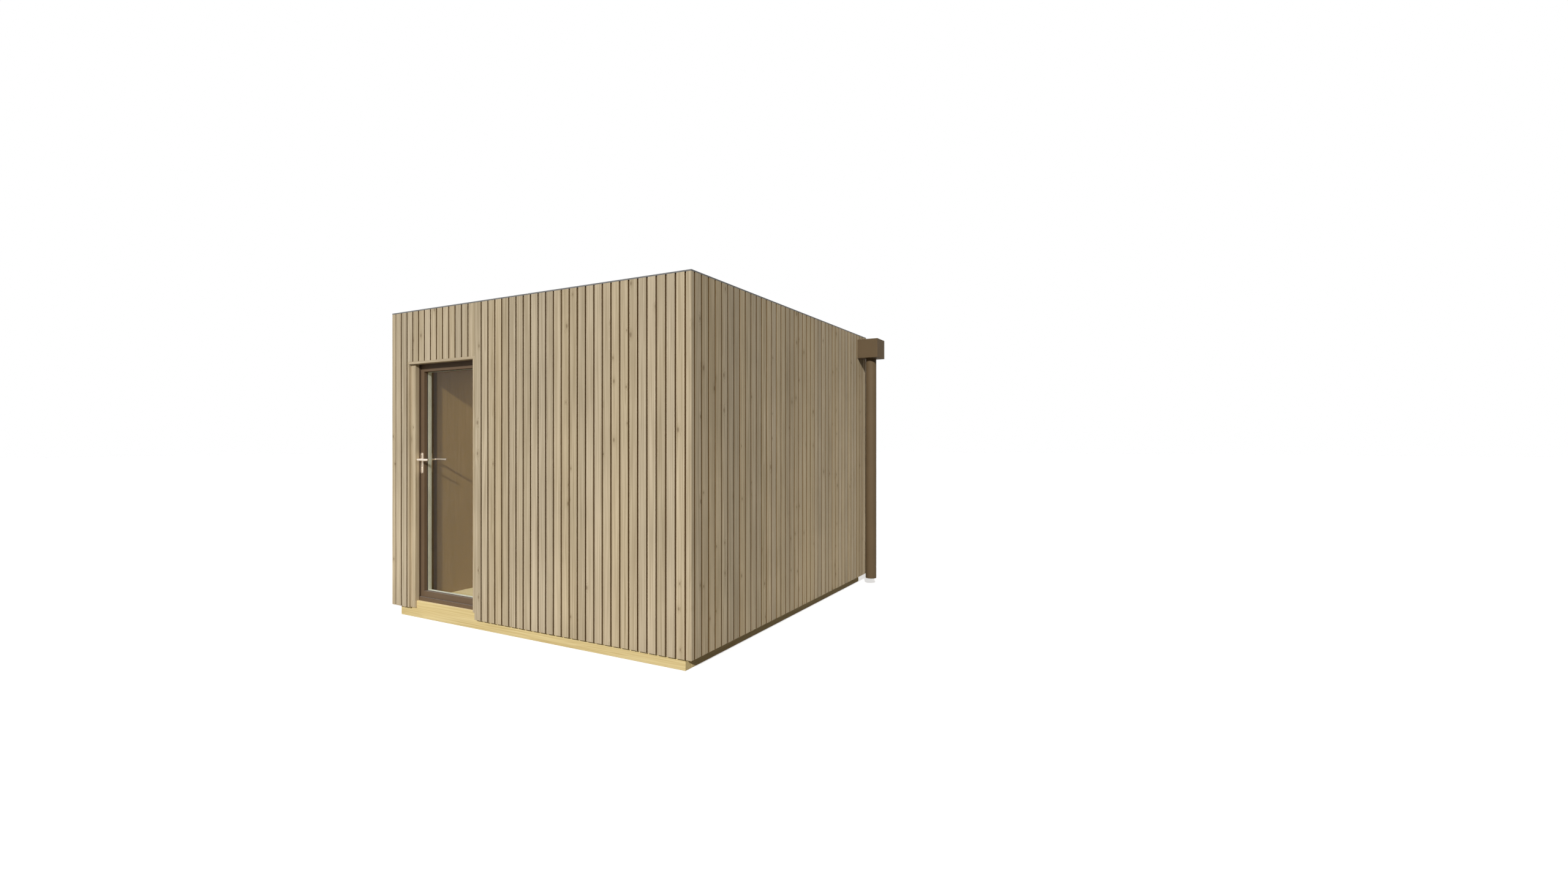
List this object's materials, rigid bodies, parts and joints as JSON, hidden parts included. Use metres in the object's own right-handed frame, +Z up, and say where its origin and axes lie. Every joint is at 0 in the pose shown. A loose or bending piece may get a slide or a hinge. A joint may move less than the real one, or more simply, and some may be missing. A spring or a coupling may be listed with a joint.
{
  "type": "garden studio",
  "caption": "Small flat-roofed timber-clad garden room with a glazed inward door, rainwater hopper and downpipe.",
  "frame": {"origin": "centre of the underside of the floor frame, on the ground", "axes": "+Z up, the door faces -Y, +X to the right seen from the door side"},
  "size_m": [3.36, 3.144, 2.587],
  "materials": {
    "timber_base": "planed pale yellow softwood",
    "wall_panel": "brown faced insulated timber panel",
    "cladding_boards": "matte pale grey-brown softwood boards",
    "door_paint": "satin brown coating",
    "glass": "clear double glazing",
    "spacer": "matte pale grey-green spacer",
    "hardware": "satin stainless steel",
    "roof_skin": "matte black roofing membrane",
    "roof_edge": "folded grey coated sheet",
    "rainwater_metal": "satin brown coated sheet"
  },
  "bodies": {
    "building": {"base_rim_front": "timber_base", "base_rim_rear": "timber_base", "base_rim_left": "timber_base", "base_rim_right": "timber_base", "floor_joists": "timber_base", "floor_deck": "timber_base", "front_wall_left": "wall_panel", "front_wall_right": "wall_panel", "front_wall_over_door": "wall_panel", "rear_wall": "wall_panel", "left_wall": "wall_panel", "right_wall": "wall_panel", "roof_deck": "wall_panel", "parapet_front": "wall_panel", "parapet_rear": "wall_panel", "parapet_left": "wall_panel", "parapet_right": "wall_panel", "cladding_front_left": "cladding_boards", "cladding_front_right": "cladding_boards", "cladding_front_over_door": "cladding_boards", "cladding_rear": "cladding_boards", "cladding_left": "cladding_boards", "cladding_right": "cladding_boards", "corner_posts": "cladding_boards", "lining_top": "cladding_boards", "lining_left": "cladding_boards", "lining_right": "cladding_boards", "fillet_left": "cladding_boards", "frame_jamb_hinge": "door_paint", "frame_jamb_lock": "door_paint", "frame_head": "door_paint", "frame_threshold": "door_paint", "hinge_frame_halves": "hardware", "roof_membrane": "roof_skin", "roof_trim_front": "roof_edge", "roof_trim_rear": "roof_edge", "roof_trim_left": "roof_edge", "roof_trim_right": "roof_edge", "roof_outlet": "rainwater_metal", "hopper": "rainwater_metal", "downpipe": "rainwater_metal"},
    "door_leaf": {"leaf_stile_lock": "door_paint", "leaf_stile_hinge": "door_paint", "leaf_rail_top": "door_paint", "leaf_rail_bottom": "door_paint", "glass_panes": "glass", "glass_spacer": "spacer", "glazing_beads": "door_paint", "handle_plates": "hardware", "lock_cylinder": "hardware", "hinge_leaf_halves": "hardware"},
    "door_lever": {"lever_set": "hardware"}
  },
  "joints": [
    {"name": "door_swing", "type": "hinge", "parent": "building", "child": "door_leaf", "pos_m": [-0.5145, -1.424, 1.157], "axis": [0, 0, -1], "range_deg": [0, 95]},
    {"name": "lever_turn", "type": "hinge", "parent": "door_leaf", "child": "door_lever", "pos_m": [-1.264, -1.456, 1.333], "axis": [0, 1, 0], "range_deg": [0, 40], "stiffness_Nm_per_rad": 1.5, "springref_deg": -28.65}
  ]
}
